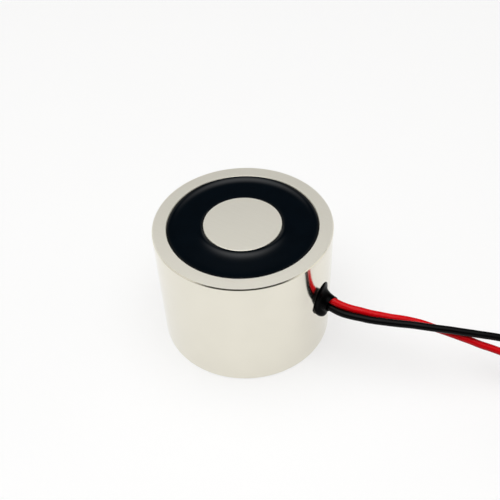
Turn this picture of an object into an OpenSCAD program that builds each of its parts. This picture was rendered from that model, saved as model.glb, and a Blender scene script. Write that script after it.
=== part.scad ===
// Round holding electromagnet: a turned steel pot with a pressed-in pole core and a wound coil,
// potted just below the holding face, with two leads through a rubber grommet in the wall.
// The origin is the centre of the mounting face, +Z points to the holding face and +X out of
// the lead hole. All lengths are in millimetres.

/* [Housing] */
// Outside diameter of the pot
housing_d = 40; // [38:0.5:60]
// Height from the mounting face to the holding face
housing_h = 30; // [28.5:0.5:50]
// Thickness of the pot's side wall
housing_wall = 3.25; // [2.5:0.05:3.6]
// Thickness of the pot's base
base_t = 5; // [3:0.25:6]
// Chamfer on the pot's outer edges
outer_edge = 0.3; // [0.1:0.05:0.8]
// Chamfer on the edges beside the resin
inner_edge = 0.15; // [0.05:0.05:0.3]

/* [Pole core] */
// Diameter of the stepped end pressed into the base
spigot_d = 11; // [8:0.5:13]
// Radial gap between the stepped end and its hole
press_gap = 0.01; // [0:0.005:0.03]
// Wall diameter of the tapped mounting hole
thread_bore_d = 4.2; // [3.3:0.1:5]
// Depth of the full-width mounting hole
thread_depth = 10; // [6:0.5:16]
// Diameter of the mounting hole's chamfered mouth
thread_mouth_d = 5.5; // [5.1:0.1:7]
// Included angle of the drill point
drill_angle = 118; // [90:1:140]

/* [Coil] */
// Radial width of the ring-shaped space between the pole and the pot
coil_space = 8; // [7.5:0.1:9]
// Height of the bobbin over both flanges
bobbin_h = 22; // [20:0.25:23]
// Wall of the bobbin's tube
bobbin_wall = 0.8; // [0.5:0.05:1.2]
// Thickness of each bobbin flange
bobbin_flange_t = 1; // [0.6:0.05:1.4]
// Radial gap between the bobbin and the pole core
bobbin_core_gap = 0.15; // [0.05:0.05:0.4]
// Radial gap between the bobbin's flanges and the pot
bobbin_rim_gap = 0.25; // [0.1:0.05:0.6]
// Radial room between the taped winding and the pot, for the splices
splice_room = 4.25; // [4:0.05:5]
// Thickness of the tape round the winding
tape_t = 0.3; // [0.1:0.05:0.5]
// Width of winding left bare beyond each edge of the tape
tape_margin = 1.6; // [1.3:0.1:3]
// Diameter of the winding's wire tails
tail_d = 0.3; // [0.15:0.05:0.5]
// Distance of each tail from the end of the winding
tail_inset = 1; // [0.5:0.05:1.2]

/* [Resin] */
// Depth of the resin's edge below the holding face
resin_drop = 0.15; // [0.15:0.05:0.8]
// Depth of the resin's flat middle below its edge
resin_hollow = 0.45; // [0.1:0.05:0.9]
// Width of the curved edge where the resin climbs the walls
meniscus_w = 1.55; // [0.5:0.05:2.4]

/* [Grommet] */
// Height of the lead hole's axis above the mounting face
exit_h = 16; // [14.5:0.1:17.5]
// Diameter of the lead hole through the wall
lead_hole_d = 5; // [4.8:0.1:5.6]
// Radial gap between the grommet and its hole
grommet_gap = 0.05; // [0.02:0.01:0.1]
// Diameter of the lip inside the wall
lip_d = 6.2; // [5.8:0.1:7]
// Thickness of the lip at the hole's axis
lip_t = 0.8; // [0.5:0.05:1]
// Widest diameter of the funnel inside the lip
funnel_d = 4.6; // [4.3:0.1:5]
// Diameter of the flange outside the wall
flange_d = 7.6; // [7:0.1:9]
// Thickness of the flange
flange_t = 0.3; // [0.2:0.05:0.6]
// Diameter of the neck round the leads
neck_d = 4; // [3.9:0.1:4.6]
// Reach of the neck from the pot's wall
neck_l = 3.1; // [2.8:0.1:4]
// Radius of the hollow curve between flange and neck
neck_fillet = 1.6; // [0.8:0.1:1.8]
// Angle by which the neck sags
neck_droop = 5; // [0:0.5:6]
// Angle by which the neck is pulled to the side
neck_swing = 5; // [0:0.5:8]

/* [Leads] */
// Outside diameter of each lead's insulation
lead_d = 1.6; // [1.5:0.05:1.65]
// Distance between the leads in the grommet
lead_pitch = 1.7; // [1.7:0.05:1.9]
// Angle of the pair of leads from level
lead_roll = 60; // [30:5:60]
// Radial gap between a lead and what it passes through
lead_gap = 0.05; // [0.04:0.01:0.08]
// Bend radius of the leads inside the pot
bend_r = 3.2; // [3:0.1:3.4]
// Straight end of each lead inside its sleeve
lead_stub = 0.6; // [0.4:0.1:1.2]
// Diameter of the solder joint between lead and winding
joint_d = 1; // [0.6:0.05:1.3]
// Length of the solder joint
joint_l = 1.8; // [1.2:0.1:2.4]
// Wall of the sleeve over the joint
sleeve_t = 0.2; // [0.1:0.05:0.3]
// Gap between the sleeve and the tape
sleeve_seat_gap = 0.06; // [0.05:0.01:0.1]
// Gap between the sleeve's end and the tail
sleeve_end_gap = 0.4; // [0.2:0.05:0.6]
// Diameter of the stripped strands
bare_d = 0.7; // [0.4:0.05:1]
// Length of the stripped strands
bare_l = 4.5; // [3:0.25:5]

/* [Stored coil] */
// Radius of the coil's outermost turn, at the middle of the lead
coil_r = 10.4; // [10:0.1:11]
// Turns of the red lead, which lies below
red_turns = 2.4; // [2.2:0.05:2.45]
// Turns of the black lead, which lies on the red one
black_turns = 2.2; // [2:0.05:2.3]
// Thickness of the tie's band
tie_t = 0.3; // [0.2:0.05:0.6]
// Width of the tie's band
tie_w = 2; // [1.5:0.1:2.1]
// Gap between the tie and the coil
tie_gap = 0.1; // [0.1:0.05:0.3]
// Side of the tie's square head
tie_head = 2.8; // [2.4:0.1:3.2]
// Height of the tie's head
tie_head_h = 2; // [1.5:0.1:3]

/* [Hidden] */
$fn = 96;

// Side of the exit that each lead takes: the red one lies above the black one
RED = 1;
BLACK = -1;

housing_r = housing_d / 2;
bore_r = housing_r - housing_wall;
pole_r = bore_r - coil_space;

bobbin_bore_r = pole_r + bobbin_core_gap;
bobbin_tube_r = bobbin_bore_r + bobbin_wall;
bobbin_rim_r = bore_r - bobbin_rim_gap;
bobbin_top = base_t + bobbin_h;
winding_low = base_t + bobbin_flange_t;
winding_high = bobbin_top - bobbin_flange_t;
tape_r = bore_r - splice_room;
winding_r = tape_r - tape_t;
winding_t = winding_r - bobbin_tube_r;

lead_r = lead_d / 2;
lead_bore_r = lead_r + lead_gap;
sleeve_r = lead_bore_r + sleeve_t;
splice_x = tape_r + sleeve_seat_gap + sleeve_r;

// Where the neck's tilt starts, on the axis of the lead hole
neck_root = [housing_r, 0, exit_h];

// The stored coil lies flat beside the object, on the surface that the object stands on
coil_centre = [78, 5];
coil_low = tie_t + tie_gap;
coil_high = coil_low + 2 * lead_d;
coil_inner_r = coil_r - lead_d * red_turns - lead_r;
coil_outer_r = coil_r + lead_r;
tie_angle = 200;

// Each lead leaves the innermost turn in a tight bend and ends inside the coil
end_bend_r = 2 * lead_d;
end_turn = 100;
end_straight = 1;

// Routes of the leads from the grommet to the stored coil
red_route = [
    [24.5, 0.3, 16.13], [26.7, 0.75, 15.7], [28.8, 1.3, 15.5], [30.9, 2.0, 15.1], [33.0, 2.8, 14.8],
    [35.1, 3.6, 14.5], [37.0, 4.5, 14.2], [39.0, 5.4, 13.8], [41.5, 6.2, 13.4], [44.4, 6.8, 12.9],
    [47.6, 7.5, 12.3], [49.8, 8.0, 11.8], [51.9, 8.6, 11.2], [54.1, 9.1, 10.6], [56.2, 9.7, 10.1],
    [58.1, 10.2, 9.6], [60.5, 10.9, 8.9], [63.0, 11.6, 8.0], [65.5, 12.4, 6.8], [68.0, 13.2, 5.3],
    [70.0, 13.8, 4.1]
];
black_route = [
    [25.1, -0.9, 15.0], [27.4, -0.7, 15.1], [29.6, -0.2, 15.1], [31.7, 0.3, 15.1], [33.8, 1.0, 15.1],
    [35.8, 1.8, 15.0], [37.7, 2.6, 14.9], [39.7, 3.5, 14.8], [42.1, 4.4, 14.7], [44.6, 5.5, 14.4],
    [47.5, 6.9, 14.0], [49.5, 7.8, 13.7], [51.4, 8.7, 13.4], [53.4, 9.6, 13.1], [55.3, 10.5, 12.8],
    [57.1, 11.3, 12.5], [59.5, 12.3, 12.1], [62.0, 13.3, 11.4], [64.5, 14.1, 10.2], [67.0, 14.8, 8.6],
    [69.5, 15.3, 6.7], [71.4, 15.5, 5.3]
];

// Offset of a lead from the hole's axis, as y and z
function lead_offset(side) = side * lead_pitch / 2 * [cos(lead_roll), sin(lead_roll)];

// A point in the neck's own frame, turned by its sag and its pull to the side
function in_neck(p) =
    let (sagged = [
        p.x * cos(neck_droop) + p.z * sin(neck_droop),
        p.y,
        p.z * cos(neck_droop) - p.x * sin(neck_droop)
    ])
    neck_root + [
        sagged.x * cos(neck_swing) + sagged.y * sin(neck_swing),
        sagged.y * cos(neck_swing) - sagged.x * sin(neck_swing),
        sagged.z
    ];

// Height where a lead's bend ends and its vertical run to the splice begins
function bend_end(side) = exit_h + lead_offset(side)[1] + side * bend_r;
// Height of a lead's cut end, inside the sleeve
function lead_end(side) = bend_end(side) + side * lead_stub;
// Height of the winding's tail that a lead is soldered to
function tail_height(side) = side == RED ? winding_high - tail_inset : winding_low + tail_inset;
// Height of the sleeve's far end
function sleeve_end(side) = tail_height(side) - side * sleeve_end_gap;

// The part of a lead inside the pot and the neck
function inner_route(side) =
    let (o = lead_offset(side))
    concat(
        [[splice_x, o[0], lead_end(side)]],
        [for (a = [0:15:90]) [
            splice_x + bend_r * (1 - cos(a)),
            o[0],
            exit_h + o[1] + side * bend_r * (1 - sin(a))
        ]],
        [for (reach = [0, neck_l]) in_neck([reach, o[0], o[1]])]
    );

function unit(v) = v / norm(v);

// Direction of a route at one of its points
function heading(route, i) =
    unit(route[min(i + 1, len(route) - 1)] - route[max(i - 1, 0)]);

// Corners of a round tube's rings along a route
function tube_points(route, radius, sides) = [
    for (i = [0:len(route) - 1])
        let (t = heading(route, i), u = unit(cross(t, [0, 1, 0])), v = cross(t, u))
        for (k = [0:sides - 1])
            route[i] + radius * (cos(360 * k / sides) * u + sin(360 * k / sides) * v)
];

// Faces of a tube: one cap, two triangles between each pair of neighbouring corners, one cap
function tube_faces(rings, sides) = concat(
    [[for (k = [0:sides - 1]) k]],
    [for (i = [0:rings - 2], k = [0:sides - 1])
        let (a = i * sides + k, b = i * sides + (k + 1) % sides)
        [a, a + sides, b]],
    [for (i = [0:rings - 2], k = [0:sides - 1])
        let (a = i * sides + k, b = i * sides + (k + 1) % sides)
        [b, a + sides, b + sides]],
    [[for (k = [sides - 1:-1:0]) (rings - 1) * sides + k]]
);

module lead_tube(route) {
    sides = 8;
    polyhedron(tube_points(route, lead_r, sides), tube_faces(len(route), sides));
}

// Lays a shape that was drawn along Z on the axis of the lead hole, at a distance from the pot's axis
module on_exit_axis(x) {
    translate([x, 0, exit_h]) rotate([0, 90, 0]) children();
}

// Turns a shape with the tilted neck
module tilted_with_neck() {
    translate(neck_root) rotate([0, neck_droop, -neck_swing]) children();
}

// The space that a lead fills between the wall and its splice
module lead_channel(side) {
    o = lead_offset(side);
    centre_z = exit_h + o[1] + side * bend_r;
    translate([splice_x + bend_r, o[0], centre_z])
        rotate([90, 0, 0])
            rotate_extrude(angle = 90, start = side == RED ? 180 : 90)
                translate([bend_r, 0]) circle(r = lead_bore_r);
    translate([splice_x, o[0], min(bend_end(side), lead_end(side))])
        cylinder(r = lead_bore_r, h = lead_stub);
}

// The tail of the winding, from its surface to the solder joint
module winding_tail(side) {
    o = lead_offset(side);
    joint_tip = lead_end(side) + side * joint_l;
    z = tail_height(side);
    translate([bobbin_tube_r + winding_t / 2, o[0], z])
        rotate([0, 90, 0]) cylinder(d = tail_d, h = splice_x - bobbin_tube_r - winding_t / 2);
    translate([splice_x, o[0], z]) sphere(d = tail_d);
    translate([splice_x, o[0], min(z, joint_tip)]) cylinder(d = tail_d, h = abs(z - joint_tip));
}

// The solder joint as a plain barrel
module joint_body(side) {
    translate([splice_x, lead_offset(side)[0], lead_end(side) + min(0, side) * joint_l])
        cylinder(d = joint_d, h = joint_l);
}

// The outside of the sleeve over a joint
module sleeve_body(side, radius) {
    low = min(bend_end(side), sleeve_end(side));
    translate([splice_x, lead_offset(side)[0], low])
        cylinder(r = radius, h = abs(sleeve_end(side) - bend_end(side)));
}

// Turned from free-cutting steel and nickel plated, with one hole drilled through the wall
module pot_housing() {
    spigot_hole_r = spigot_d / 2 + press_gap;
    color("lightgray") difference() {
        rotate_extrude() polygon([
            [spigot_hole_r, 0], [housing_r - outer_edge, 0], [housing_r, outer_edge],
            [housing_r, housing_h - outer_edge], [housing_r - outer_edge, housing_h],
            [bore_r + inner_edge, housing_h], [bore_r, housing_h - inner_edge],
            [bore_r, base_t], [spigot_hole_r, base_t]
        ]);
        on_exit_axis(0) cylinder(d = lead_hole_d, h = housing_d);
    }
}

// The iron core: its shoulder stands on the pot's floor and its stepped end is pressed through
module pole_core() {
    bore = thread_bore_d / 2;
    mouth = thread_mouth_d / 2;
    point = bore / tan(drill_angle / 2);
    color("silver") rotate_extrude() polygon([
        [mouth, 0], [spigot_d / 2, 0], [spigot_d / 2, base_t], [pole_r, base_t],
        [pole_r, housing_h - inner_edge], [pole_r - inner_edge, housing_h], [0, housing_h],
        [0, thread_depth + point], [bore, thread_depth], [bore, mouth - bore]
    ]);
}

// The moulded spool that slides over the core
module coil_bobbin() {
    color("ivory") rotate_extrude() polygon([
        [bobbin_bore_r, base_t], [bobbin_rim_r, base_t], [bobbin_rim_r, winding_low],
        [bobbin_tube_r, winding_low], [bobbin_tube_r, winding_high], [bobbin_rim_r, winding_high],
        [bobbin_rim_r, bobbin_top], [bobbin_bore_r, bobbin_top]
    ]);
}

// The enamelled copper, with its two tails led out to the splices
module coil_winding() {
    color("peru") {
        rotate_extrude() translate([bobbin_tube_r, winding_low])
            square([winding_t, winding_high - winding_low]);
        for (side = [RED, BLACK]) winding_tail(side);
    }
}

// The insulating tape round the middle of the winding
module winding_tape() {
    color("gold") rotate_extrude() translate([winding_r, winding_low + tape_margin])
        square([tape_t, winding_high - winding_low - 2 * tape_margin]);
}

// Height of the resin's surface at a distance from the nearer wall
function resin_height(d) =
    let (climb = max(0, 1 - d / meniscus_w))
    housing_h - resin_drop - resin_hollow * (1 - climb * climb);

// Cast round the coil and hollowed a little as it shrank
module potting_resin() {
    steps = 8;
    near = [for (i = [0:steps]) meniscus_w * i / steps];
    color([0.03, 0.06, 0.09]) difference() {
        rotate_extrude() polygon(concat(
            [[bore_r, base_t], [pole_r, base_t]],
            [for (d = near) [pole_r + d, resin_height(d)]],
            [for (i = [steps:-1:0]) [bore_r - near[i], resin_height(near[i])]]
        ));
        translate([0, 0, base_t]) cylinder(r = bobbin_tube_r, h = bobbin_h);
        translate([0, 0, winding_low]) cylinder(r = winding_r, h = winding_high - winding_low);
        translate([0, 0, winding_low + tape_margin])
            cylinder(r = tape_r, h = winding_high - winding_low - 2 * tape_margin);
        for (z = [base_t, winding_high])
            translate([0, 0, z]) cylinder(r = bobbin_rim_r, h = bobbin_flange_t);
        for (side = [RED, BLACK]) {
            lead_channel(side);
            sleeve_body(side, sleeve_r);
            joint_body(side);
            winding_tail(side);
        }
        on_exit_axis(bore_r - lip_t) cylinder(d = lip_d, h = housing_wall + lip_t);
    }
}

// The path of a lead through the grommet: level in the wall, then tilted with the neck
module grommet_lead_bore(side) {
    o = lead_offset(side);
    translate([bore_r - lip_t, o[0], exit_h + o[1]])
        rotate([0, 90, 0]) cylinder(r = lead_bore_r, h = housing_wall + lip_t);
    tilted_with_neck() translate([0, o[0], o[1]]) {
        sphere(r = lead_bore_r + lead_gap / 2);
        rotate([0, 90, 0]) cylinder(r = lead_bore_r, h = 2 * neck_l);
    }
}

// Moulded rubber: a lip inside the wall, a plug in the hole, and a flange that curves into a neck
module cable_grommet() {
    steps = 6;
    start_angle = 30;
    neck_r = neck_d / 2;
    fillet = [for (i = [0:steps])
        let (a = start_angle + (90 - start_angle) * i / steps)
        [neck_r + neck_fillet * (1 - sin(a)), flange_t + neck_fillet * (1 - cos(a))]];
    color([0.08, 0.08, 0.09]) difference() {
        union() {
            intersection() {
                on_exit_axis(bore_r - lip_t) cylinder(d = lip_d, h = housing_wall);
                cylinder(r = bore_r, h = housing_h);
            }
            on_exit_axis(bore_r - lip_t)
                cylinder(r = lead_hole_d / 2 - grommet_gap, h = housing_wall + lip_t + flange_t / 2);
            difference() {
                union() {
                    intersection() {
                        on_exit_axis(bore_r) cylinder(d = flange_d, h = housing_d);
                        cylinder(r = housing_r + flange_t, h = housing_h);
                    }
                    tilted_with_neck() rotate([0, 90, 0]) rotate_extrude() polygon(concat(
                        [[0, -housing_wall / 2], [fillet[0].x, -housing_wall / 2]],
                        fillet,
                        [[neck_r, neck_l], [0, neck_l]]
                    ));
                }
                cylinder(r = housing_r, h = housing_h);
            }
        }
        for (side = [RED, BLACK]) grommet_lead_bore(side);
        on_exit_axis(bore_r - lip_t)
            cylinder(d1 = funnel_d, d2 = lead_pitch + 2 * lead_bore_r + 2 * lead_gap, h = lip_t);
    }
}

// Tinned solder round the twisted conductors
module solder_joint(side) {
    color("gainsboro") joint_body(side);
}

module red_solder_joint() { solder_joint(RED); }
module black_solder_joint() { solder_joint(BLACK); }

// Shrink tubing over a joint and the end of its lead
module splice_sleeve(side, tint) {
    color(tint) difference() {
        sleeve_body(side, sleeve_r);
        sleeve_body(side, lead_bore_r);
    }
}

module red_splice_sleeve() { splice_sleeve(RED, "firebrick"); }
module black_splice_sleeve() { splice_sleeve(BLACK, "dimgray"); }

// Places a shape at the end of a lead inside the stored coil, pointing along the lead
module at_coil_end(turns, layer) {
    end_r = coil_r - lead_d * turns;
    translate([coil_centre.x, coil_centre.y, coil_low + lead_r + layer * lead_d])
        rotate([0, 0, 90 - 360 * turns])
            translate([end_r - end_bend_r, 0, 0])
                rotate([0, 0, -end_turn])
                    translate([end_bend_r, 0, 0])
                        rotate([90, 0, 0]) children();
}

// PVC-covered hook-up wire, from its splice to the stored coil, and its free end inside the coil
module red_lead() {
    color([0.8, 0.08, 0.12]) {
        lead_tube(concat(inner_route(RED), red_route));
        at_coil_end(red_turns, 0) cylinder(r = lead_r, h = end_straight);
    }
}

module black_lead() {
    color([0.06, 0.06, 0.07]) {
        lead_tube(concat(inner_route(BLACK), black_route));
        at_coil_end(black_turns, 1) cylinder(r = lead_r, h = end_straight);
    }
}

// Stripped and tinned strands
module bare_end(turns, layer) {
    color("gainsboro") at_coil_end(turns, layer)
        translate([0, 0, end_straight]) cylinder(d = bare_d, h = bare_l);
}

module red_bare_end() { bare_end(red_turns, 0); }
module black_bare_end() { bare_end(black_turns, 1); }

// A box with round corners, from its low corner
module rounded_box(low, high, radius) {
    size = high - low;
    translate(low + [radius, 0]) square([size.x - 2 * radius, size.y]);
    translate(low + [0, radius]) square([size.x, size.y - 2 * radius]);
    for (x = [low.x + radius, high.x - radius], y = [low.y + radius, high.y - radius])
        translate([x, y]) circle(r = radius);
}

// The two leads' turns, side by side and one on the other
module lead_coil() {
    color([0.35, 0.1, 0.12]) translate([coil_centre.x, coil_centre.y, 0]) rotate_extrude()
        rounded_box([coil_inner_r, coil_low], [coil_outer_r, coil_high], lead_r);
}

// A small nylon tie round the coil
module coil_tie() {
    slack = [tie_gap, tie_gap];
    inner_low = [coil_inner_r, coil_low] - slack;
    inner_high = [coil_outer_r, coil_high] + slack;
    band = [tie_t, tie_t];
    color("whitesmoke") translate([coil_centre.x, coil_centre.y, 0]) rotate([0, 0, tie_angle]) {
        translate([0, tie_w / 2, 0]) rotate([90, 0, 0]) linear_extrude(tie_w) difference() {
            rounded_box(inner_low - band, inner_high + band, lead_r + tie_t);
            rounded_box(inner_low, inner_high, lead_r);
        }
        translate([coil_r - tie_head, -tie_head / 2, inner_high.y])
            cube([tie_head, tie_head, tie_head_h]);
    }
}

pot_housing();
pole_core();
coil_bobbin();
coil_winding();
winding_tape();
potting_resin();
cable_grommet();
red_lead();
black_lead();
red_solder_joint();
black_solder_joint();
red_splice_sleeve();
black_splice_sleeve();
red_bare_end();
black_bare_end();
lead_coil();
coil_tie();
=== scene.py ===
# Holding electromagnet: a plated steel pot and centre pole with a potted coil between them,
# and two leads that leave the side wall through a rubber grommet. Metres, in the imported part's frame.
import math

import bmesh
import bpy
from mathutils import Matrix, Vector


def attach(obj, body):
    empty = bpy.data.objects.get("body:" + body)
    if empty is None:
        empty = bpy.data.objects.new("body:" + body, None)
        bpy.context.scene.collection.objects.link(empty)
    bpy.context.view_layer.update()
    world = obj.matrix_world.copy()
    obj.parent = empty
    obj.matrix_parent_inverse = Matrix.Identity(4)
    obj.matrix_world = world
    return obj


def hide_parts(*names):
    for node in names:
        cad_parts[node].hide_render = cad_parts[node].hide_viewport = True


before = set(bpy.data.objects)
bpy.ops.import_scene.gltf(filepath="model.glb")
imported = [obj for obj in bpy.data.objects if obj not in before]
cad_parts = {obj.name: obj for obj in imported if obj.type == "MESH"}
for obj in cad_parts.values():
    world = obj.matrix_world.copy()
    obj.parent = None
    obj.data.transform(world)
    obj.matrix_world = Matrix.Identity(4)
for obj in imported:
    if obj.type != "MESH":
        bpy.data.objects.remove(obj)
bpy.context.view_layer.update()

# Pot housing
# A cup turned from mild steel bar and plated with bright nickel. Its rim is the outer pole, ground flat,
# with its sharp edges broken, and the wall has one drilled hole for the leads.
MM = 0.001
pot_r = 20 * MM
pot_h = 30 * MM
wall_t = 3.25 * MM
base_t = 5 * MM
bore_r = pot_r - wall_t
seat_r = 5.51 * MM
edge_in = 0.2 * MM
edge_drop = 0.3 * MM
inner_edge = 0.16 * MM
exit_h = 16 * MM
lead_hole_r = 2.5 * MM
round_steps = 256
hole_steps = 64
hole_margin = 3 * MM
# How near an edge or a face has to come to a place or a direction to be picked
ring_slack = 0.02 * MM
level_slack = 0.01 * MM
facing = 0.9
flat_facing = 0.99


def pick(kind, test):
    """Selects, in edit mode, only the vertices, edges or faces that pass the test."""
    bpy.ops.mesh.select_mode(type=kind)
    bpy.ops.mesh.select_all(action="DESELECT")
    shape = bmesh.from_edit_mesh(bpy.context.object.data)
    for part in {"VERT": shape.verts, "EDGE": shape.edges, "FACE": shape.faces}[kind]:
        if test(part):
            part.select_set(True)
    shape.select_flush_mode()
    bmesh.update_edit_mesh(bpy.context.object.data)


def on_ring(edge, r, z):
    """True for an edge of the circle with this radius and height, round the magnet's axis."""
    return all(
        abs(math.hypot(v.co.x, v.co.y) - r) < ring_slack and abs(v.co.z - z) < level_slack
        for v in edge.verts
    )


def start_round(name, r, low, high, steps):
    """A round blank on the magnet's axis, left in edit mode."""
    bpy.ops.object.select_all(action="DESELECT")
    bpy.ops.mesh.primitive_cylinder_add(
        vertices=steps, radius=r, depth=high - low, location=(0, 0, (low + high) / 2)
    )
    bpy.ops.object.transform_apply()
    bpy.context.object.name = name
    bpy.ops.object.mode_set(mode="EDIT")
    return bpy.context.object


def extrude(x, y, z):
    """Extrudes what is selected by that much."""
    bpy.ops.mesh.extrude_region_move(TRANSFORM_OT_translate={"value": (x, y, z)})


def finish_shading(piece, degrees):
    """Smooth shading up to that angle, with the flat faces kept flat."""
    if bpy.context.mode == "EDIT_MESH":
        bpy.ops.object.mode_set(mode="OBJECT")
    bpy.ops.object.select_all(action="DESELECT")
    piece.select_set(True)
    bpy.context.view_layer.objects.active = piece
    bpy.ops.object.shade_smooth_by_angle(angle=math.radians(degrees))
    even = piece.modifiers.new("even_normals", "WEIGHTED_NORMAL")
    even.keep_sharp = True
    bpy.ops.object.modifier_apply(modifier=even.name)


pot = start_round("turned_pot", pot_r, edge_drop, pot_h - edge_drop, round_steps)
pick("FACE", lambda f: f.normal.z > facing)
bpy.ops.mesh.inset(thickness=edge_in, depth=edge_drop)
bpy.ops.mesh.inset(thickness=wall_t - edge_in)
extrude(0, 0, base_t - pot_h)
bpy.ops.mesh.inset(thickness=bore_r - seat_r)
pick("FACE", lambda f: f.normal.z < -facing)
bpy.ops.mesh.inset(thickness=edge_in, depth=edge_drop)
bpy.ops.mesh.inset(thickness=pot_r - edge_in - seat_r)
pick("FACE", lambda f: len(f.verts) == round_steps)
bpy.ops.mesh.bridge_edge_loops()
pick("EDGE", lambda e: on_ring(e, bore_r, pot_h))
bpy.ops.mesh.bevel(offset=inner_edge, segments=3, affect="EDGES")
for height in (exit_h - hole_margin, exit_h + hole_margin):
    bpy.ops.mesh.select_all(action="SELECT")
    bpy.ops.mesh.bisect(plane_co=(0, 0, height), plane_no=(0, 0, 1))
bpy.ops.object.mode_set(mode="OBJECT")
bpy.ops.mesh.primitive_cylinder_add(
    vertices=hole_steps,
    radius=lead_hole_r,
    depth=2 * wall_t,
    location=(pot_r, 0, exit_h),
    rotation=(0, math.pi / 2, 0),
)
drill = bpy.context.object
lead_hole = pot.modifiers.new("lead_hole", "BOOLEAN")
lead_hole.operation = "DIFFERENCE"
lead_hole.object = drill
bpy.context.view_layer.objects.active = pot
bpy.ops.object.modifier_apply(modifier=lead_hole.name)
bpy.data.objects.remove(drill)
finish_shading(pot, degrees=25)


def linear(code):
    """An sRGB hex value as a linear colour."""
    parts = [int(code[i : i + 2], 16) / 255 for i in (1, 3, 5)]
    return tuple(p / 12.92 if p <= 0.04045 else ((p + 0.055) / 1.055) ** 2.4 for p in parts) + (1.0,)


def add_node(tree, kind, settings, links):
    """Adds a node: settings are its options or socket values, and links join outputs to its sockets."""
    made = tree.nodes.new("ShaderNode" + kind)
    for name, value in settings.items():
        if isinstance(name, int) or name in made.inputs:
            made.inputs[name].default_value = value
        else:
            setattr(made, name, value)
    for name, output in links.items():
        tree.links.new(output, made.inputs[name])
    return made


def new_material(name):
    """An empty material, its node tree and its surface shader."""
    made = bpy.data.materials.new(name)
    made.use_nodes = True
    return made, made.node_tree, made.node_tree.nodes["Principled BSDF"]


# Bright nickel plate: a warm mirror with a faint haze where the polish under it is uneven
bright_nickel, tree, shader = new_material("bright_nickel_plate")
shader.inputs["Metallic"].default_value = 1.0
place = add_node(tree, "TexCoord", {}, {})
haze = add_node(
    tree, "TexNoise", {"Scale": 1 / (6 * MM), "Detail": 2.0}, {"Vector": place.outputs["Object"]}
)
tint = add_node(
    tree,
    "Mix",
    {"data_type": "RGBA", 6: linear("#E7E3D6"), 7: linear("#E2DED1")},
    {0: haze.outputs["Fac"]},
)
polish = add_node(tree, "MapRange", {"To Min": 0.09, "To Max": 0.15}, {"Value": haze.outputs["Fac"]})
tree.links.new(tint.outputs[2], shader.inputs["Base Color"])
tree.links.new(polish.outputs["Result"], shader.inputs["Roughness"])

# Ground and plated face: satin, with fine straight wheel marks that run across both poles
ground_plate, tree, shader = new_material("ground_nickel_face")
shader.inputs["Metallic"].default_value = 1.0
place = add_node(tree, "TexCoord", {}, {})
across = add_node(
    tree, "Mapping", {"Scale": (1 / (9 * MM), 1 / (0.25 * MM), 1.0)}, {"Vector": place.outputs["Object"]}
)
marks = add_node(tree, "TexNoise", {"Scale": 1.0, "Detail": 3.0}, {"Vector": across.outputs["Vector"]})
tint = add_node(
    tree,
    "Mix",
    {"data_type": "RGBA", 6: linear("#F1EEE4"), 7: linear("#EDEADF")},
    {0: marks.outputs["Fac"]},
)
satin = add_node(tree, "MapRange", {"To Min": 0.52, "To Max": 0.64}, {"Value": marks.outputs["Fac"]})
tree.links.new(tint.outputs[2], shader.inputs["Base Color"])
tree.links.new(satin.outputs["Result"], shader.inputs["Roughness"])

pot.data.materials.append(bright_nickel)
pot.data.materials.append(ground_plate)
for face in pot.data.polygons:
    if face.normal.z > flat_facing and face.center.z > pot_h - level_slack:
        face.material_index = 1
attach(pot, "root")
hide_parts("pot_housing")

# Centre pole
# A turned steel core pressed into the pot's base by its spigot, its face ground level with the rim.
# The spigot's tapped hole takes the screw that holds the magnet.
pole_r = 8.75 * MM
spigot_r = 5.5 * MM
pole_edge = 0.1 * MM
thread_r = 2.5 * MM
thread_core_r = 2.1 * MM
thread_pitch = 0.8 * MM
thread_depth = 10 * MM
thread_mouth_r = 2.75 * MM
thread_start = 0.7 * MM
thread_turns = 10
thread_steps = 48
ridge_sink = 0.02 * MM
ridge_root = 0.44 * thread_pitch
ridge_crest = 0.125 * thread_pitch
drill_half_angle = math.radians(59)
drill_tip_r = 0.05 * MM
pole_steps = 160

pole = start_round("turned_pole", pole_r, base_t, pot_h, pole_steps)
pick("FACE", lambda f: f.normal.z < -facing)
bpy.ops.mesh.inset(thickness=pole_r - spigot_r)
extrude(0, 0, -base_t)
bpy.ops.mesh.inset(thickness=spigot_r - thread_mouth_r)
bpy.ops.mesh.inset(thickness=thread_mouth_r - thread_r, depth=thread_r - thread_mouth_r)
extrude(0, 0, thread_depth - (thread_mouth_r - thread_r))
tip = thread_r - drill_tip_r
bpy.ops.mesh.inset(thickness=tip, depth=-tip / math.tan(drill_half_angle))
pick("EDGE", lambda e: on_ring(e, pole_r, pot_h))
bpy.ops.mesh.bevel(offset=pole_edge, segments=3, affect="EDGES")
bpy.ops.object.mode_set(mode="OBJECT")

bpy.ops.object.select_all(action="DESELECT")
bpy.ops.mesh.primitive_circle_add(
    vertices=4, radius=thread_pitch / 2, fill_type="NOTHING", location=(thread_r, 0, thread_start)
)
ridge = bpy.context.object
ridge_section = [
    (thread_r + ridge_sink, ridge_root),
    (thread_core_r, ridge_crest),
    (thread_core_r, -ridge_crest),
    (thread_r + ridge_sink, -ridge_root),
]
for vertex, (out, up) in zip(ridge.data.vertices, ridge_section):
    vertex.co = (out - thread_r, 0, up)
bpy.ops.object.transform_apply()
helix = ridge.modifiers.new("thread", "SCREW")
helix.axis = "Z"
helix.screw_offset = thread_pitch
helix.iterations = thread_turns
helix.steps = helix.render_steps = thread_steps
helix.use_merge_vertices = False
bpy.ops.object.modifier_apply(modifier=helix.name)
bpy.ops.object.mode_set(mode="EDIT")
pick("EDGE", lambda e: e.is_boundary)
bpy.ops.mesh.fill_holes(sides=4)
bpy.ops.mesh.select_all(action="SELECT")
bpy.ops.mesh.normals_make_consistent(inside=False)
bpy.ops.object.mode_set(mode="OBJECT")
pole.select_set(True)
bpy.context.view_layer.objects.active = pole
bpy.ops.object.join()
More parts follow.
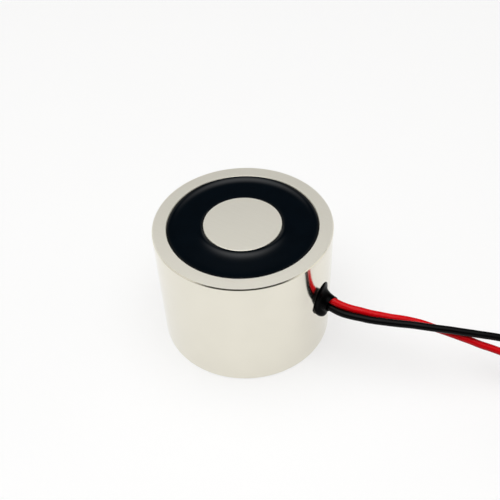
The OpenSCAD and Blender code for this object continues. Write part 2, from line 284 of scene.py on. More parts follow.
finish_shading(pole, degrees=40)
pole.data.materials.append(bright_nickel)
pole.data.materials.append(ground_plate)
for face in pole.data.polygons:
    if face.normal.z > flat_facing and face.center.z > pot_h - level_slack:
        face.material_index = 1
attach(pole, "root")
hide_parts("pole_core")

# Coil inside the pot
# Enamelled copper wound on a moulded nylon bobbin, with a turn of polyester tape over it and shrink
# tubing over the soldered splices. The resin hides it all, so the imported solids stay, with new finishes.

# Moulded nylon: creamy and satin, a little cloudy where the melt has flowed
bobbin_nylon, tree, shader = new_material("moulded_natural_nylon")
shader.inputs["Roughness"].default_value = 0.45
shader.inputs["IOR"].default_value = 1.53
place = add_node(tree, "TexCoord", {}, {})
cloud = add_node(
    tree, "TexNoise", {"Scale": 1 / (3 * MM), "Detail": 3.0}, {"Vector": place.outputs["Object"]}
)
tint = add_node(
    tree,
    "Mix",
    {"data_type": "RGBA", 6: linear("#EDE8DA"), 7: linear("#E2DAC6")},
    {0: cloud.outputs["Fac"]},
)
tree.links.new(tint.outputs[2], shader.inputs["Base Color"])

# Enamelled copper: a clear amber coat over bright wire, wound in close turns, with painted shade that
# darkens the grooves between turns. Blender's wave texture goes through 20 radians for each unit of its
# scale, so the scale comes from that and the pitch of the turns.
wire_pitch = 0.3 * MM
wave_radians = 20
copper_enamel, tree, shader = new_material("enamelled_copper_wire")
shader.inputs["Metallic"].default_value = 1.0
shader.inputs["Coat Weight"].default_value = 0.6
place = add_node(tree, "TexCoord", {}, {})
turns = add_node(
    tree,
    "TexWave",
    {
        "wave_type": "BANDS",
        "bands_direction": "Z",
        "Scale": 2 * math.pi / (wave_radians * wire_pitch),
        "Distortion": 0.4,
    },
    {"Vector": place.outputs["Object"]},
)
# Painted shade: dark brown in the grooves between turns, bright copper on their crests
tint = add_node(
    tree,
    "Mix",
    {"data_type": "RGBA", 6: linear("#8A4A22"), 7: linear("#D08040")},
    {0: turns.outputs["Fac"]},
)
wires = add_node(tree, "Bump", {"Strength": 0.6, "Distance": 0.1 * MM}, {"Height": turns.outputs["Fac"]})
shader.inputs["Roughness"].default_value = 0.3
tree.links.new(tint.outputs[2], shader.inputs["Base Color"])
tree.links.new(wires.outputs["Normal"], shader.inputs["Normal"])

# Polyester tape: thin amber film, smooth, with slight ripples where it is pulled tight
polyester_film, tree, shader = new_material("polyester_tape_film")
shader.inputs["Roughness"].default_value = 0.25
place = add_node(tree, "TexCoord", {}, {})
ripple = add_node(
    tree, "TexNoise", {"Scale": 1 / (2.5 * MM), "Detail": 2.0}, {"Vector": place.outputs["Object"]}
)
tint = add_node(
    tree,
    "Mix",
    {"data_type": "RGBA", 6: linear("#E0C060"), 7: linear("#C9A545")},
    {0: ripple.outputs["Fac"]},
)
crease = add_node(tree, "Bump", {"Strength": 0.3, "Distance": 0.1 * MM}, {"Height": ripple.outputs["Fac"]})
tree.links.new(tint.outputs[2], shader.inputs["Base Color"])
tree.links.new(crease.outputs["Normal"], shader.inputs["Normal"])

# Tinned copper: soft grey metal, uneven where the solder has frozen
tinned_copper, tree, shader = new_material("tinned_copper_strand")
shader.inputs["Metallic"].default_value = 1.0
place = add_node(tree, "TexCoord", {}, {})
frost = add_node(
    tree, "TexNoise", {"Scale": 1 / (0.4 * MM), "Detail": 3.0}, {"Vector": place.outputs["Object"]}
)
tint = add_node(
    tree,
    "Mix",
    {"data_type": "RGBA", 6: linear("#DAD9D5"), 7: linear("#C6C4BE")},
    {0: frost.outputs["Fac"]},
)
dull = add_node(tree, "MapRange", {"To Min": 0.2, "To Max": 0.42}, {"Value": frost.outputs["Fac"]})
tree.links.new(tint.outputs[2], shader.inputs["Base Color"])
tree.links.new(dull.outputs["Result"], shader.inputs["Roughness"])

# Shrink tubing: matt black polyolefin with a fine wrinkle
shrink_tube, tree, shader = new_material("polyolefin_shrink_tubing")
shader.inputs["Roughness"].default_value = 0.55
place = add_node(tree, "TexCoord", {}, {})
grain = add_node(
    tree, "TexNoise", {"Scale": 1 / (0.3 * MM), "Detail": 3.0}, {"Vector": place.outputs["Object"]}
)
tint = add_node(
    tree,
    "Mix",
    {"data_type": "RGBA", 6: linear("#1E1E20"), 7: linear("#2A2A2D")},
    {0: grain.outputs["Fac"]},
)
wrinkle = add_node(tree, "Bump", {"Strength": 0.4, "Distance": 0.05 * MM}, {"Height": grain.outputs["Fac"]})
tree.links.new(tint.outputs[2], shader.inputs["Base Color"])
tree.links.new(wrinkle.outputs["Normal"], shader.inputs["Normal"])

inside_finish = {
    "coil_bobbin": bobbin_nylon,
    "coil_winding": copper_enamel,
    "winding_tape": polyester_film,
    "red_solder_joint": tinned_copper,
    "black_solder_joint": tinned_copper,
    "red_splice_sleeve": shrink_tube,
    "black_splice_sleeve": shrink_tube,
}
for name, finish in inside_finish.items():
    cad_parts[name].data.materials.clear()
    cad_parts[name].data.materials.append(finish)

# Potting resin
# Black epoxy poured round the coil and set just below the ground face. It wets both poles, so it climbs
# them in a small curve, and it is hollow between them because it shrinks as it cures.
resin_drop = 0.15 * MM
resin_hollow = 0.76 * MM
meniscus_w = 0.53 * MM
meniscus_steps = 64
bobbin_top = 27 * MM
bobbin_low = 5 * MM
bobbin_rim_r = 16.5 * MM
tape_r = 12.5 * MM
flange_t = 1 * MM


def resin_level(gap):
    """Height of the resin at that distance from the pot's wall."""
    middle = (bore_r - pole_r) / 2
    climb = math.cosh((gap - middle) / meniscus_w) / math.cosh(middle / meniscus_w)
    return pot_h - resin_drop - resin_hollow * (1 - climb)


resin = start_round("poured_resin", bore_r, base_t, pot_h - resin_drop, round_steps)
pick("FACE", lambda f: f.normal.z > facing)
step = (bore_r - pole_r) / meniscus_steps
for i in range(meniscus_steps):
    bpy.ops.mesh.inset(thickness=step, depth=resin_level((i + 1) * step) - resin_level(i * step))
extrude(0, 0, bobbin_top - (pot_h - resin_drop))
pick("FACE", lambda f: f.normal.z < -facing)
bpy.ops.mesh.inset(thickness=bore_r - bobbin_rim_r)
extrude(0, 0, flange_t)
bpy.ops.mesh.inset(thickness=bobbin_rim_r - tape_r)
extrude(0, 0, bobbin_top - bobbin_low - 2 * flange_t)
bpy.ops.mesh.inset(thickness=tape_r - pole_r)
pick("FACE", lambda f: len(f.verts) == round_steps)
bpy.ops.mesh.bridge_edge_loops()
finish_shading(resin, degrees=50)

# Black casting epoxy: glossy as it set, almost black, and faintly clouded, with a blue cast that is a
# painted reflection
black_epoxy, tree, shader = new_material("black_casting_epoxy")
shader.inputs["IOR"].default_value = 1.53
shader.inputs["Specular IOR Level"].default_value = 0.19
place = add_node(tree, "TexCoord", {}, {})
cloud = add_node(
    tree, "TexNoise", {"Scale": 1 / (5 * MM), "Detail": 2.0}, {"Vector": place.outputs["Object"]}
)
# The blue in these colours is a painted reflection of a dim bluish surrounding
tint = add_node(
    tree,
    "Mix",
    {"data_type": "RGBA", 6: linear("#01050A"), 7: linear("#020A12")},
    {0: cloud.outputs["Fac"]},
)
gloss = add_node(tree, "MapRange", {"To Min": 0.1, "To Max": 0.15}, {"Value": cloud.outputs["Fac"]})
tree.links.new(tint.outputs[2], shader.inputs["Base Color"])
tree.links.new(gloss.outputs["Result"], shader.inputs["Roughness"])
resin.data.materials.append(black_epoxy)
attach(resin, "root")
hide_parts("potting_resin")

# Grommet
# A moulded rubber bush pushed into the wall's hole from outside. Its flange lies against the wall and
# curves into a short neck round the two leads, which their weight pulls a little down and to one side.
grommet_r = 3.66 * MM
plug_r = 2.45 * MM
lip_r = 3.1 * MM
lip_t = 0.8 * MM
neck_l = 3.1 * MM
neck_droop = math.radians(5)
neck_swing = math.radians(5)
neck_root = Vector((pot_r, 0, exit_h))
neck_tilt = Matrix.Rotation(-neck_swing, 4, "Z") @ Matrix.Rotation(neck_droop, 4, "Y")
flange_long = 1.13
flange_short = 0.85
flange_axis = math.radians(80)
oval_until = 0.1 * MM
oval_fade = 0.8 * MM
hug_fade = 2 * MM
flange_least = 0.05 * MM
lip_lift = 0.3 * MM
lip_side = math.radians(120)
pad_t = 1.5 * MM
pad_side = math.radians(255)
lean_from = 0.3 * MM
neck_cut = 1.1 * MM
neck_cut_from = 1.2 * MM
neck_cut_side = math.radians(180)
neck_edge = 0.05 * MM
neck_edge_rise = 0.02 * MM
neck_wall = 0.06 * MM
neck_hollow = 1.2 * MM
hairline = 0.01 * MM
grommet_steps = 96
# Radius and distance from the wall in millimetres, on the flange's thin side, and the share that the rubber
# there has of what the thick side adds
trumpet = [
    (3.72, 0.005, 0.25), (3.76, 0.01, 0.5), (3.7, 0.02, 0.75), (3.55, 0.04, 0.92), (3.28, 0.08, 1.0),
    (2.95, 0.17, 1.0), (2.65, 0.32, 0.93), (2.42, 0.55, 0.8), (2.25, 0.85, 0.64), (2.1, 1.22, 0.46),
    (2.0, 1.62, 0.3), (1.94, 2.04, 0.17), (1.89, 2.5, 0.08), (1.86, 2.83, 0.03), (1.84, 3.1, 0.0),
]


def follow(along):
    """Share by which the rubber follows the flange's thick side, at that distance from the wall."""
    near = (-1.0, 0.0)
    for _, distance, share in trumpet:
        if along <= distance * MM:
            return near[1] + (along / MM - near[0]) / (distance - near[0]) * (share - near[1])
        near = (distance, share)
    return 0.0


def swell(turn, middle, power):
    """1 on the side at that angle, falling to 0 on the other side."""
    return ((1 + math.cos(turn - middle)) / 2) ** power


grommet = start_round("rubber_grommet", grommet_r, -hairline, 0, grommet_steps)
pick("FACE", lambda f: f.normal.z > facing)
reached = (grommet_r / MM, 0.0)
for radius, distance, _ in trumpet:
    extrude(0, 0, (distance - reached[1]) * MM)
    widen = radius / reached[0]
    bpy.ops.transform.resize(value=(widen, widen, 1), center_override=(0, 0, 0))
    reached = (radius, distance)
bpy.ops.mesh.inset(thickness=neck_edge, depth=neck_edge_rise)
bpy.ops.mesh.inset(thickness=neck_wall)
extrude(0, 0, -neck_hollow)
pick("FACE", lambda f: f.normal.z < -facing and len(f.verts) > 4)
bpy.ops.mesh.inset(thickness=grommet_r - plug_r)
extrude(0, 0, -wall_t)
extrude(0, 0, -hairline)
widen = lip_r / plug_r
bpy.ops.transform.resize(value=(widen, widen, 1), center_override=(0, 0, 0))
extrude(0, 0, -lip_t)
bpy.ops.object.mode_set(mode="OBJECT")
for vertex in grommet.data.vertices:
    along, across, up = vertex.co.z, vertex.co.y, -vertex.co.x
    turn = math.atan2(up, across)
    if along > -2 * hairline:
        # The flange is oval, thick below and bent to the wall, and the neck leans and ends in a slanted cut
        out = math.hypot(across, up)
        flat = min(1.0, max(0.0, 1 - (along - oval_until) / oval_fade))
        round_axis = turn - flange_axis
        oval = math.hypot(math.cos(round_axis) / flange_long, math.sin(round_axis) / flange_short)
        lean = max(0.0, along - lean_from)
        grow = 1 + flat * (1 / oval - 1)
        across = out * grow * math.cos(turn) - lean * math.tan(neck_swing)
        up = out * grow * math.sin(turn) - lean * math.tan(neck_droop)
        hug = (pot_r - math.sqrt(pot_r**2 - across**2)) * (1 - min(1.0, max(0.0, along / hug_fade)))
        rise = flange_least + lip_lift * swell(turn, lip_side, 3) + pad_t * swell(turn, pad_side, 4)
        slant = max(0.0, along - neck_cut_from) / (neck_l - neck_cut_from)
        cut = neck_cut * swell(turn, neck_cut_side, 1) * slant
        along += follow(along) * rise - hug - cut
    vertex.co = neck_root + Vector((along, across, up))
finish_shading(grommet, degrees=50)

# Black moulded rubber: semi-gloss, with the mould's fine matt grain
black_rubber, tree, shader = new_material("black_moulded_rubber")
shader.inputs["IOR"].default_value = 1.52
shader.inputs["Specular IOR Level"].default_value = 0.03
place = add_node(tree, "TexCoord", {}, {})
grain = add_node(
    tree, "TexNoise", {"Scale": 1 / (0.35 * MM), "Detail": 3.0}, {"Vector": place.outputs["Object"]}
)
tint = add_node(
    tree,
    "Mix",
    {"data_type": "RGBA", 6: linear("#010101"), 7: linear("#030304")},
    {0: grain.outputs["Fac"]},
)
sheen = add_node(tree, "MapRange", {"To Min": 0.22, "To Max": 0.34}, {"Value": grain.outputs["Fac"]})
mould = add_node(tree, "Bump", {"Strength": 0.15, "Distance": 0.05 * MM}, {"Height": grain.outputs["Fac"]})
tree.links.new(tint.outputs[2], shader.inputs["Base Color"])
tree.links.new(sheen.outputs["Result"], shader.inputs["Roughness"])
tree.links.new(mould.outputs["Normal"], shader.inputs["Normal"])
grommet.data.materials.append(black_rubber)
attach(grommet, "root")
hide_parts("cable_grommet")

# Bare ends
# The last few millimetres of each lead, stripped of insulation: seven twisted strands, tinned at the tip.
bare_r = 0.35 * MM
bare_l = 4.5 * MM
strand_r = bare_r / 3
strand_lay = 6 * MM
strand_steps = 18
outer_strands = 6
bead_fit = 0.98
bead_stretch = 2.5
coil_centre = Vector((78 * MM, 5 * MM, 0))
coil_low = 0.4 * MM
coil_r = 10.4 * MM
lead_d = 1.6 * MM
end_bend_r = 3.2 * MM
end_turn = math.radians(100)
end_straight = 1 * MM
lead_turns = {"red": 2.4, "black": 2.2}
lead_layer = {"red": coil_low + lead_d / 2, "black": coil_low + lead_d * 1.5}


def coil_end(lead):
    """Where a lead's insulation ends inside the coil, with Z along the lead."""
    end_r = coil_r - lead_d * lead_turns[lead]
    place = Matrix.Translation(coil_centre + Vector((0, 0, lead_layer[lead])))
    place = place @ Matrix.Rotation(math.radians(90 - 360 * lead_turns[lead]), 4, "Z")
    place = place @ Matrix.Translation((end_r - end_bend_r, 0, 0)) @ Matrix.Rotation(-end_turn, 4, "Z")
    place = place @ Matrix.Translation((end_bend_r, 0, 0)) @ Matrix.Rotation(math.pi / 2, 4, "X")
    return place @ Matrix.Translation((0, 0, end_straight))


for lead in ("red", "black"):
    strands = []
    for k in range(outer_strands + 1):
        bpy.ops.object.select_all(action="DESELECT")
        bpy.ops.mesh.primitive_circle_add(vertices=10, radius=strand_r, fill_type="NGON")
        strand = bpy.context.object
        strands.append(strand)
        bpy.ops.object.mode_set(mode="EDIT")
        for _ in range(strand_steps):
            extrude(0, 0, bare_l / strand_steps)
        bpy.ops.object.mode_set(mode="OBJECT")
        for vertex in strand.data.vertices:
            turn = 2 * math.pi * (k / outer_strands + vertex.co.z / strand_lay)
            out = 2 * strand_r if k < outer_strands else 0
            vertex.co.x += out * math.cos(turn)
            vertex.co.y += out * math.sin(turn)
    bpy.ops.object.select_all(action="DESELECT")
    bpy.ops.mesh.primitive_uv_sphere_add(segments=24, ring_count=12, radius=bare_r * bead_fit)
    bpy.ops.object.mode_set(mode="EDIT")
    pick("VERT", lambda v: v.co.z < 0)
    bpy.ops.transform.resize(value=(1, 1, bead_stretch), center_override=(0, 0, 0))
    bpy.ops.mesh.select_all(action="SELECT")
    bpy.ops.transform.translate(value=(0, 0, bare_l - bare_r))
    bpy.ops.object.mode_set(mode="OBJECT")
    for strand in strands:
        strand.select_set(True)
    bpy.ops.object.join()
    end = bpy.context.object
    end.name = lead + "_stripped_end"
    end.matrix_world = coil_end(lead)
    bpy.ops.object.transform_apply()
    bpy.ops.object.mode_set(mode="EDIT")
    bpy.ops.mesh.select_all(action="SELECT")
    bpy.ops.mesh.normals_make_consistent(inside=False)
    finish_shading(end, degrees=60)
    end.data.materials.append(tinned_copper)
    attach(end, "root")
    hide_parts(lead + "_bare_end")

# Coil tie
# A small natural nylon cable tie round the stored turns: a flat strap, its square head on top of the coil,
# and the trimmed tail that sticks out of the head.
tie_t = 0.3 * MM
tie_w = 2 * MM
tie_gap = 0.1 * MM
tie_head = 2.8 * MM
tie_head_h = 2 * MM
tie_angle = math.radians(200)
head_edge = 0.18 * MM
slot_border = 0.35 * MM
slot_flatten = 0.55
slot_depth = 0.6 * MM
tail_l = 2.6 * MM
tail_w = 1.84 * MM
tail_back = 0.2 * MM
tail_bend = 0.4 * MM
tail_sag = 0.12 * MM
tail_edge = 0.06 * MM
bundle_in = coil_r - lead_d * lead_turns["red"] - lead_d / 2 - tie_gap
bundle_out = coil_r + lead_d / 2 + tie_gap
bundle_low = coil_low - tie_gap
bundle_high = coil_low + 2 * lead_d + tie_gap

bpy.ops.object.select_all(action="DESELECT")
bpy.ops.mesh.primitive_cube_add(
    size=1, location=((bundle_in + bundle_out) / 2, 0, (bundle_low + bundle_high) / 2)
)
tie = bpy.context.object
tie.name = "nylon_tie"
tie.scale = (bundle_out - bundle_in, tie_w, bundle_high - bundle_low)
bpy.ops.object.transform_apply()
bpy.ops.object.mode_set(mode="EDIT")
pick("FACE", lambda f: abs(f.normal.y) > facing)
bpy.ops.mesh.delete(type="ONLY_FACE")
pick("EDGE", lambda e: abs(e.verts[0].co.y - e.verts[1].co.y) > 0.5 * tie_w)
bpy.ops.mesh.bevel(offset=lead_d / 2, segments=8, affect="EDGES")
bpy.ops.object.mode_set(mode="OBJECT")
thick = tie.modifiers.new("strap_thickness", "SOLIDIFY")
thick.thickness = tie_t
thick.offset = 1.0
bpy.ops.object.modifier_apply(modifier=thick.name)
bpy.ops.object.select_all(action="DESELECT")
bpy.ops.mesh.primitive_cube_add(size=1, location=(coil_r - tie_head / 2, 0, bundle_high + tie_head_h / 2))
head = bpy.context.object
head.scale = (tie_head, tie_head, tie_head_h)
bpy.ops.object.transform_apply()
bpy.ops.object.mode_set(mode="EDIT")
pick("FACE", lambda f: f.normal.x < -facing)
bpy.ops.mesh.inset(thickness=slot_border)
slot_middle = (coil_r - tie_head, 0, bundle_high + tie_head_h / 2)
bpy.ops.transform.resize(value=(1, 1, slot_flatten), center_override=slot_middle)
extrude(slot_depth, 0, 0)
bpy.ops.object.mode_set(mode="OBJECT")
soften = head.modifiers.new("moulded_edges", "BEVEL")
soften.width = head_edge
soften.segments = 3
bpy.ops.object.modifier_apply(modifier=soften.name)
bpy.ops.object.select_all(action="DESELECT")
bpy.ops.mesh.primitive_cube_add(
    size=1, location=(coil_r - tie_head - tail_back, 0, bundle_high + tie_head_h / 2)
)
tail = bpy.context.object
tail.scale = (tail_l, tail_w, tie_t)
bpy.ops.object.transform_apply()
bpy.ops.object.mode_set(mode="EDIT")
bpy.ops.mesh.select_all(action="SELECT")
bpy.ops.mesh.subdivide(number_cuts=3)
pick("VERT", lambda v: v.co.x < coil_r - tie_head - tail_bend)
bpy.ops.transform.translate(value=(0, 0, -tail_sag))
bpy.ops.object.mode_set(mode="OBJECT")
soften = tail.modifiers.new("strap_edges", "BEVEL")
soften.width = tail_edge
soften.segments = 2
bpy.ops.object.modifier_apply(modifier=soften.name)
bpy.ops.object.select_all(action="DESELECT")
for part in (tail, head, tie):
    part.select_set(True)
bpy.context.view_layer.objects.active = tie
bpy.ops.object.join()
tie.matrix_world = Matrix.Translation(coil_centre) @ Matrix.Rotation(tie_angle, 4, "Z")
bpy.ops.object.transform_apply()
finish_shading(tie, degrees=40)

# Natural nylon: milky white and satin from the mould, letting a little light in
tie_nylon, tree, shader = new_material("natural_nylon_tie")
shader.inputs["Roughness"].default_value = 0.35
shader.inputs["IOR"].default_value = 1.53
shader.inputs["Subsurface Weight"].default_value = 0.2
shader.inputs["Subsurface Radius"].default_value = (0.6 * MM, 0.6 * MM, 0.5 * MM)
place = add_node(tree, "TexCoord", {}, {})
cloud = add_node(
    tree, "TexNoise", {"Scale": 1 / (1.2 * MM), "Detail": 3.0}, {"Vector": place.outputs["Object"]}
)
tint = add_node(
    tree,
    "Mix",
    {"data_type": "RGBA", 6: linear("#EFEEE8"), 7: linear("#E4E2D8")},
    {0: cloud.outputs["Fac"]},
)
tree.links.new(tint.outputs[2], shader.inputs["Base Color"])
tie.data.materials.append(tie_nylon)
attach(tie, "root")
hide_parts("coil_tie")

# Leads
# Two stranded hook-up wires in PVC insulation, red and black, 200 mm each. They come out of the grommet
# together, sag and cross on their way down to the bench, and the spare length is wound in a small coil.
lead_pitch = 1.7 * MM
lead_roll = math.radians(60)
splice_x = 13.61 * MM
bend_r = 3.2 * MM
lead_stub = 0.6 * MM
# The insulation is drawn a touch over its nominal radius, so that no light shows between the two leads
sheath_over = 0.025 * MM
sides = {"red": 1, "black": -1}
# The open run of each lead from the grommet to the coil, in millimetres
routes = {
    "red": [
        (24.5, 0.3, 16.13), (26.7, 0.75, 15.7), (28.8, 1.3, 15.5), (30.9, 2.0, 15.1), (33.0, 2.8, 14.8),
        (35.1, 3.6, 14.5), (37.0, 4.5, 14.2), (39.0, 5.4, 13.8), (41.5, 6.2, 13.4), (44.4, 6.8, 12.9),
        (47.6, 7.5, 12.3), (49.8, 8.0, 11.8), (51.9, 8.6, 11.2), (54.1, 9.1, 10.6), (56.2, 9.7, 10.1),
        (58.1, 10.2, 9.6), (60.5, 10.9, 8.9), (63.0, 11.6, 8.0), (65.5, 12.4, 6.8), (68.0, 13.2, 5.3),
        (70.0, 13.8, 4.1), (72.2, 14.4, 2.9), (75.0, 15.0, 1.7),
    ],
    "black": [
        (25.1, -0.9, 15.0), (27.4, -0.7, 15.1), (29.6, -0.2, 15.1), (31.7, 0.3, 15.1), (33.8, 1.0, 15.1),
        (35.8, 1.8, 15.0), (37.7, 2.6, 14.9), (39.7, 3.5, 14.8), (42.1, 4.4, 14.7), (44.6, 5.5, 14.4),
        (47.5, 6.9, 14.0), (49.5, 7.8, 13.7), (51.4, 8.7, 13.4), (53.4, 9.6, 13.1), (55.3, 10.5, 12.8),
        (57.1, 11.3, 12.5), (59.5, 12.3, 12.1), (62.0, 13.3, 11.4), (64.5, 14.1, 10.2), (67.0, 14.8, 8.6),
        (69.5, 15.3, 6.7), (71.4, 15.5, 5.3), (73.2, 15.6, 4.2), (75.4, 15.55, 3.2),
    ],
}
coil_points_per_turn = 24
bend_steps = 6
end_steps = 5


def lead_route(lead):
    """A lead's points, from its splice through the grommet and along the bench to the end of its coil."""
    side = sides[lead]
    y = side * lead_pitch / 2 * math.cos(lead_roll)
    z = side * lead_pitch / 2 * math.sin(lead_roll)
    points = [Vector((splice_x, y, exit_h + z + side * (bend_r + lead_stub)))]
    for i in range(bend_steps + 1):
        turn = math.pi / 2 * i / bend_steps
        x = splice_x + bend_r * (1 - math.cos(turn))
        points.append(Vector((x, y, exit_h + z + side * bend_r * (1 - math.sin(turn)))))
    points += [neck_root + neck_tilt.to_3x3() @ Vector((along, y, z)) for along in (0, neck_l)]
    points += [Vector(p) * MM for p in routes[lead]]
    last = round(lead_turns[lead] * coil_points_per_turn)
    for i in range(last + 1):
        turn = 2 * math.pi * lead_turns[lead] * i / last
        r = coil_r - lead_d * turn / (2 * math.pi)
        spot = coil_centre + Vector((r * math.sin(turn), r * math.cos(turn), lead_layer[lead]))
        points.append(spot)
    out = (points[-1] - coil_centre - Vector((0, 0, lead_layer[lead]))).normalized()
    pivot = points[-1] - out * end_bend_r
    for i in range(1, end_steps + 1):
        points.append(pivot + Matrix.Rotation(-end_turn * i / end_steps, 3, "Z") @ out * end_bend_r)
    points.append(coil_end(lead).translation)
    return points


lead_colours = {"red": ("#CE000B", "#DA0412"), "black": ("#030304", "#070708")}
lead_shine = {"red": 0.13, "black": 0.08}
for lead in ("red", "black"):
    points = lead_route(lead)
    line = bpy.data.curves.new(lead + "_hookup_wire", "CURVE")
    line.dimensions = "3D"
    line.bevel_depth = lead_d / 2 + sheath_over
    line.bevel_resolution = 8
    line.resolution_u = 6
    line.use_fill_caps = True
    spline = line.splines.new("BEZIER")
    spline.bezier_points.add(len(points) - 1)
    for knot, point in zip(spline.bezier_points, points):
        knot.co = point
        knot.handle_left_type = knot.handle_right_type = "AUTO"
    wire = bpy.data.objects.new(lead + "_hookup_wire", line)
    bpy.context.scene.collection.objects.link(wire)

    # Extruded PVC: semi-gloss, its colour a little cloudy, with a fine ripple from the extruder
    pvc, tree, shader = new_material(lead + "_extruded_pvc")
    shader.inputs["IOR"].default_value = 1.53
    shader.inputs["Specular IOR Level"].default_value = lead_shine[lead]
    place = add_node(tree, "TexCoord", {}, {})
    cloud = add_node(
        tree, "TexNoise", {"Scale": 1 / (2.5 * MM), "Detail": 3.0}, {"Vector": place.outputs["Object"]}
    )
    dark, light = (linear(code) for code in lead_colours[lead])
    tint = add_node(tree, "Mix", {"data_type": "RGBA", 6: dark, 7: light}, {0: cloud.outputs["Fac"]})
    gloss = add_node(tree, "MapRange", {"To Min": 0.22, "To Max": 0.32}, {"Value": cloud.outputs["Fac"]})
    ripple = add_node(
        tree, "Bump", {"Strength": 0.12, "Distance": 0.1 * MM}, {"Height": cloud.outputs["Fac"]}
    )
    tree.links.new(tint.outputs[2], shader.inputs["Base Color"])
    tree.links.new(gloss.outputs["Result"], shader.inputs["Roughness"])
    tree.links.new(ripple.outputs["Normal"], shader.inputs["Normal"])
    line.materials.append(pvc)
    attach(wire, "root")
    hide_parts(lead + "_lead", "lead_coil")

# Floor, light and camera
# A white paper sweep under one large soft overhead light in a dim room, and a camera at the photograph's
# angle. The paper's lift shows only to the camera and in reflections, so it adds no light to the magnet.
camera_azimuth = math.radians(33.2)
camera_elevation = math.radians(41.87)
camera_distance = 155.94 * MM
camera_yaw = math.radians(-0.49)
camera_pitch = math.radians(-2.2)
camera_roll = math.radians(3.09)
lens_px = 708.7
frame_px = 500
floor_r = 2.5
floor_lift = 0.53
paper_patch = 83.3 * MM
room_light = 0.06
horizon_light = 0.12
left_wall_light = 0.75
right_wall_light = 0.85
# Where the pale walls and the horizon begin and end, as sines of the angle to the side and above the floor
wall_begin = 0.6
wall_full = 0.9
wall_top_begin = 0.5
wall_top_end = 0.75
horizon_begin = 0.1
horizon_end = 0.45
softbox_h = 1.0
softbox_half_angle = math.radians(50)
softbox_r = softbox_h * math.tan(softbox_half_angle)
softbox_level = 3.2
softbox_left = math.radians(5)
softbox_front = math.radians(9)

bpy.ops.object.select_all(action="DESELECT")
bpy.ops.mesh.primitive_circle_add(vertices=96, radius=floor_r, fill_type="NGON")
floor = bpy.context.object
floor.name = "floor"

# White paper: matt, its tone very faintly uneven
white_floor, tree, shader = new_material("white_paper_sweep")
shader.inputs["Roughness"].default_value = 0.7
place = add_node(tree, "TexCoord", {}, {})
tone = add_node(tree, "TexNoise", {"Scale": 1 / paper_patch}, {"Vector": place.outputs["Object"]})
tint = add_node(
    tree,
    "Mix",
    {"data_type": "RGBA", 6: linear("#B3B3B3"), 7: linear("#B1B1B1")},
    {0: tone.outputs["Fac"]},
)
tree.links.new(tint.outputs[2], shader.inputs["Base Color"])
ray = add_node(tree, "LightPath", {}, {})
seen = add_node(
    tree,
    "Math",
    {"operation": "MAXIMUM"},
    {0: ray.outputs["Is Camera Ray"], 1: ray.outputs["Is Glossy Ray"]},
)
shown = add_node(
    tree,
    "Math",
    {"operation": "MAXIMUM"},
    {0: seen.outputs["Value"], 1: ray.outputs["Is Transmission Ray"]},
)
lift = add_node(tree, "Math", {"operation": "MULTIPLY", 1: floor_lift}, {0: shown.outputs["Value"]})
shader.inputs["Emission Color"].default_value = (1.0, 1.0, 1.0, 1.0)
tree.links.new(lift.outputs["Value"], shader.inputs["Emission Strength"])
floor.data.materials.append(white_floor)

world = bpy.data.worlds.new("dim_studio")
bpy.context.scene.world = world
world.use_nodes = True
tree = world.node_tree
stand = Matrix.Rotation(camera_azimuth, 4, "Z")
room = tree.nodes["Background"]
room.inputs["Color"].default_value = linear("#F6F4EE")
place = add_node(tree, "TexCoord", {}, {})
height = add_node(tree, "SeparateXYZ", {}, {"Vector": place.outputs["Generated"]})
to_right = stand @ Vector((1, 0, 0))
side = add_node(
    tree, "VectorMath", {"operation": "DOT_PRODUCT", 1: to_right}, {0: place.outputs["Generated"]}
)

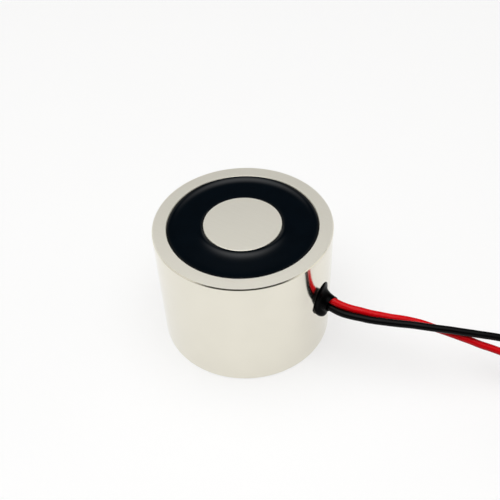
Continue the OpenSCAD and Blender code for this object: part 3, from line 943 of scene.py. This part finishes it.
# Each smooth step of the room's light: what it goes by, where it begins and ends, and its levels there
light_steps = {
    "right wall": (side.outputs["Value"], wall_begin, wall_full, 0, right_wall_light),
    "left wall": (side.outputs["Value"], -wall_full, -wall_begin, left_wall_light, 0),
    "wall top": (height.outputs["Z"], wall_top_begin, wall_top_end, 1, 0),
    "horizon": (height.outputs["Z"], horizon_begin, horizon_end, room_light + horizon_light, room_light),
}
level = {}
for name, (value, start, stop, first, last) in light_steps.items():
    smooth = {"interpolation_type": "SMOOTHSTEP", "From Min": start, "From Max": stop}
    smooth.update({"To Min": first, "To Max": last})
    level[name] = add_node(tree, "MapRange", smooth, {"Value": value}).outputs["Result"]
walls = add_node(tree, "Math", {"operation": "ADD"}, {0: level["right wall"], 1: level["left wall"]})
low_walls = add_node(
    tree, "Math", {"operation": "MULTIPLY"}, {0: walls.outputs["Value"], 1: level["wall top"]}
)
room_level = add_node(
    tree, "Math", {"operation": "ADD"}, {0: low_walls.outputs["Value"], 1: level["horizon"]}
)
tree.links.new(room_level.outputs["Value"], room.inputs["Strength"])

softbox_data = bpy.data.lights.new("overhead_softbox", "AREA")
softbox_data.shape = "DISK"
softbox_data.size = 2 * softbox_r
softbox_data.energy = softbox_level * math.pi * math.pi * softbox_r**2
softbox = bpy.data.objects.new("overhead_softbox", softbox_data)
bpy.context.scene.collection.objects.link(softbox)
softbox.location = stand @ Vector(
    (-softbox_h * math.tan(softbox_left), -softbox_h * math.tan(softbox_front), softbox_h)
)
softbox_data.use_nodes = True
tree = softbox_data.node_tree
lamp_point = add_node(tree, "NewGeometry", {}, {})
reach = add_node(
    tree, "VectorMath", {"operation": "DISTANCE", 1: softbox.location}, {0: lamp_point.outputs["Position"]}
)
falloff = add_node(
    tree,
    "MapRange",
    {"interpolation_type": "SMOOTHSTEP", "From Min": 0, "From Max": softbox_r, "To Min": 1, "To Max": 0},
    {"Value": reach.outputs["Value"]},
)
tree.links.new(falloff.outputs["Result"], tree.nodes["Emission"].inputs["Strength"])

camera_data = bpy.data.cameras.new("camera")
camera_data.lens = lens_px / frame_px * camera_data.sensor_width
camera_data.clip_start = 5 * MM
camera = bpy.data.objects.new("camera", camera_data)
bpy.context.scene.collection.objects.link(camera)
seat = stand @ Vector(
    (0, -camera_distance * math.cos(camera_elevation), camera_distance * math.sin(camera_elevation))
)
aim = stand @ Matrix.Rotation(math.pi / 2 - camera_elevation, 4, "X") @ Matrix.Rotation(camera_yaw, 4, "Y")
aim = aim @ Matrix.Rotation(camera_pitch, 4, "X") @ Matrix.Rotation(-camera_roll, 4, "Z")
camera.matrix_world = Matrix.Translation(seat + Vector((0, 0, pot_h))) @ aim
bpy.context.scene.camera = camera
bpy.context.scene.view_settings.view_transform = "Standard"
